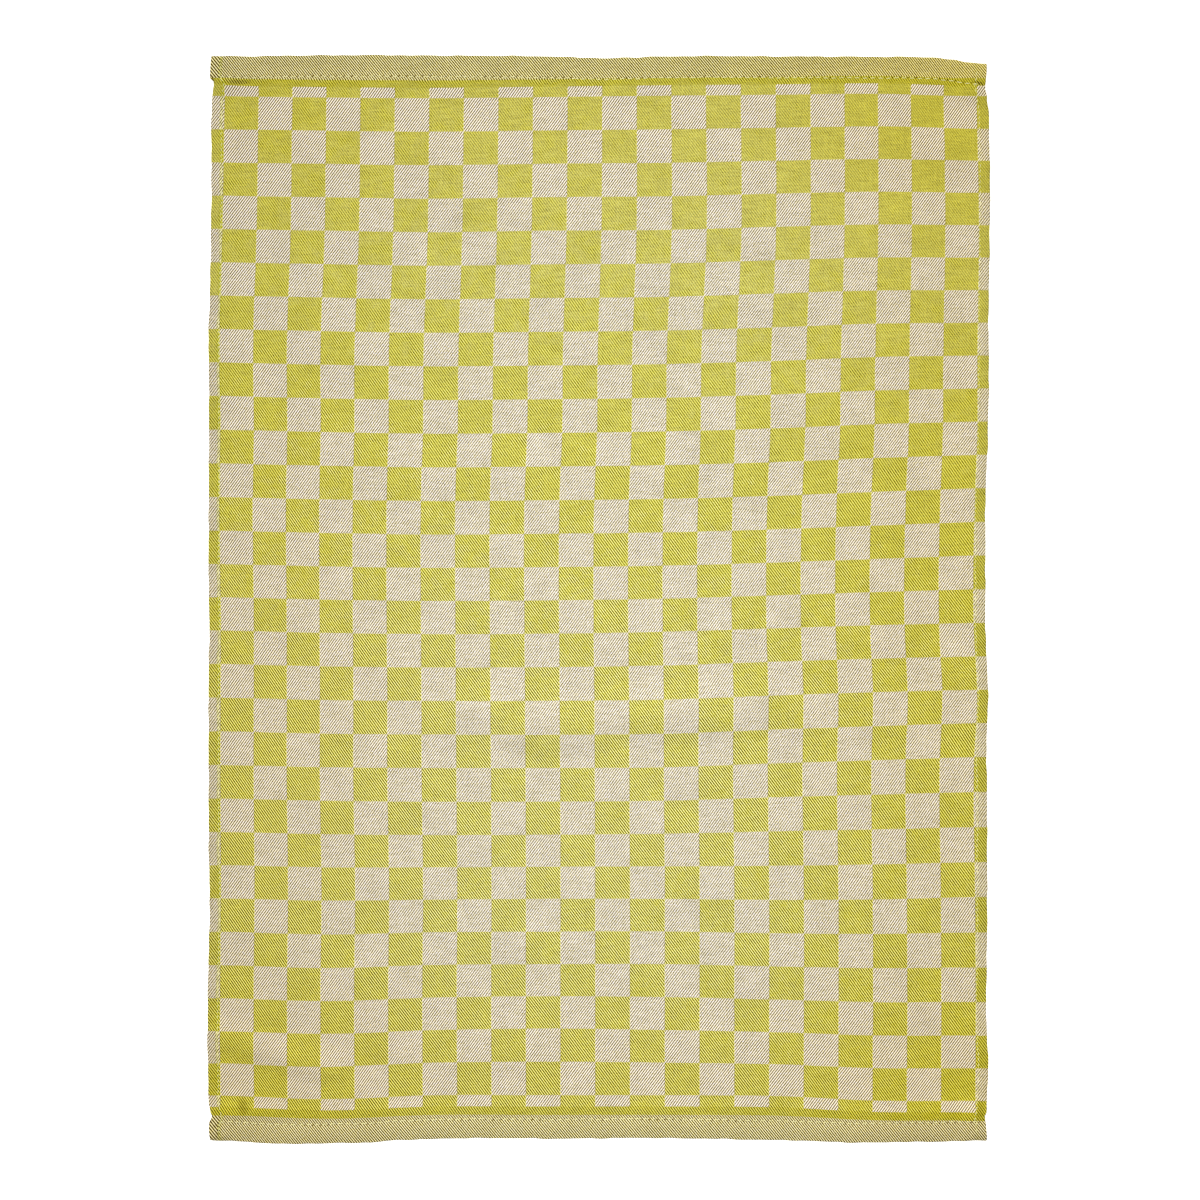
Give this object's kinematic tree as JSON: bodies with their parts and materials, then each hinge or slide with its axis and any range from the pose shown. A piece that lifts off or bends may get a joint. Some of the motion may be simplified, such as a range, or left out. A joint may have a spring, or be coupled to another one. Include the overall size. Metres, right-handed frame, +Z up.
{
  "type": "tea towel",
  "caption": "Rectangular woven cotton kitchen towel in a green and cream checkerboard, hemmed on every side, lying flat and face up with soft creases.",
  "frame": {"origin": "on the surface that the towel lies on, under the middle of its outline", "axes": "+X across the towel, +Y along it towards the end hem that is at the top of the picture, +Z up out of its face"},
  "size_m": [0.5048, 0.7028, 0.0049],
  "materials": {
    "cotton_cloth": "matte twill, green checks and cream checks"
  },
  "bodies": {
    "root": {"towel_cloth": "cotton_cloth"}
  },
  "joints": []
}
